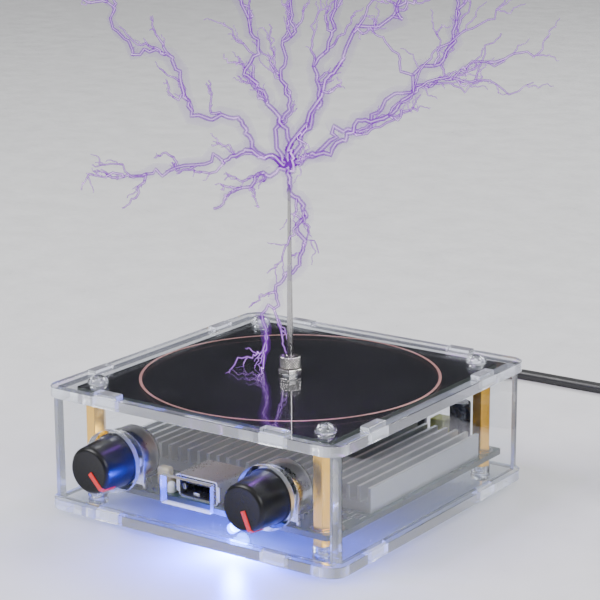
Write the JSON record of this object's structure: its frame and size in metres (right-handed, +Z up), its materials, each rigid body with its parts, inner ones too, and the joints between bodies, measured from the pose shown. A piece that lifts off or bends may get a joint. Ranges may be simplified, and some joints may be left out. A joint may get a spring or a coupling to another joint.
{
  "type": "plasma speaker",
  "caption": "Desktop musical high-voltage coil in a clear sheet-plastic case, with a needle on top, two knobs in front and a lead with its mains adapter.",
  "frame": {"origin": "on the table, under the middle of the case with its knobs, the stowed lead and its adapter left out", "axes": "+Z up along the needle, -Y towards the side with the knobs and the data port, +X to the right as seen from that side"},
  "size_m": [0.1752, 0.2032, 0.0989],
  "materials": {
    "acrylic": "clear polished sheet",
    "clear_nylon": "clear moulded",
    "brass": "turned, bright",
    "board_green": "circuit board, green lacquer",
    "board_black": "circuit board, black lacquer",
    "copper": "bare copper",
    "nickel": "nickel plated",
    "steel": "bright steel",
    "tin": "tinned sheet",
    "sink": "extruded, satin",
    "zinc": "plated",
    "knob_black": "fine satin",
    "pointer_red": "printed, satin",
    "port_black": "moulded",
    "spring_metal": "bright",
    "lamp_blue": "clear lens, lit",
    "lamp_white": "milky lens",
    "ferrite": "matte",
    "film": "lacquered",
    "box_yellow": "moulded",
    "can_sleeve": "shrunk sleeve",
    "chip_black": "moulded",
    "jack_black": "moulded",
    "lead_black": "satin sheath",
    "tie_grey": "woven band",
    "adapter_black": "fine texture"
  },
  "bodies": {
    "case": {"base_plate": "acrylic", "top_plate": "acrylic", "front_panel": "acrylic", "back_panel": "acrylic", "left_panel": "acrylic", "right_panel": "acrylic", "top_screws": "clear_nylon", "foot_screws": "clear_nylon", "base_nuts": "clear_nylon", "lower_posts": "brass", "upper_posts": "brass", "main_board": "board_green", "coil_board": "board_black", "copper_ring": "copper", "coil_winding": "copper", "coil_leads": "copper", "needle_seat": "nickel", "heatsink": "sink", "heatsink_screws": "zinc", "power_transistors": "chip_black", "left_pot": "tin", "right_pot": "tin", "left_bushing": "zinc", "right_bushing": "zinc", "port_shell": "tin", "port_tongue": "port_black", "port_springs": "spring_metal", "blue_led": "lamp_blue", "led_leads": "tin", "status_led": "lamp_white", "wire_inductor": "tin", "inductor_core": "ferrite", "film_capacitor": "film", "box_capacitor": "box_yellow", "can_capacitors": "can_sleeve", "wireless_module": "board_green", "driver_chips": "chip_black", "dc_jack": "jack_black", "jack_pin": "tin", "plug_barrel": "tin", "plug_handle": "lead_black", "plug_relief": "lead_black", "power_lead": "lead_black", "lead_coil": "lead_black", "coil_tie": "tie_grey", "lead_tail": "lead_black", "adapter_relief": "lead_black", "power_adapter": "adapter_black", "adapter_pins": "tin"},
    "left_dial": {"left_shaft": "steel", "left_knob": "knob_black", "left_pointer": "pointer_red"},
    "right_dial": {"right_shaft": "steel", "right_knob": "knob_black", "right_pointer": "pointer_red"},
    "needle": {"discharge_needle": "steel"},
    "needle_nut": {"thumb_nut": "nickel"}
  },
  "joints": [
    {"name": "left_knob_turn", "type": "hinge", "parent": "case", "child": "left_dial", "pos_m": [-0.027, -0.0419, 0.0195], "axis": [0, -1, 0], "range_deg": [0, 300]},
    {"name": "right_knob_turn", "type": "hinge", "parent": "case", "child": "right_dial", "pos_m": [0.0255, -0.0419, 0.0195], "axis": [0, -1, 0], "range_deg": [0, 300]},
    {"name": "thumb_nut_turn", "type": "hinge", "parent": "case", "child": "needle_nut", "pos_m": [0, 0.0041, 0.0399], "axis": [0, 0, 1], "range_deg": [0, 360]},
    {"name": "needle_lift", "type": "slide", "parent": "case", "child": "needle", "axis": [0, 0, 1], "range_m": [0, 0.0021]}
  ]
}
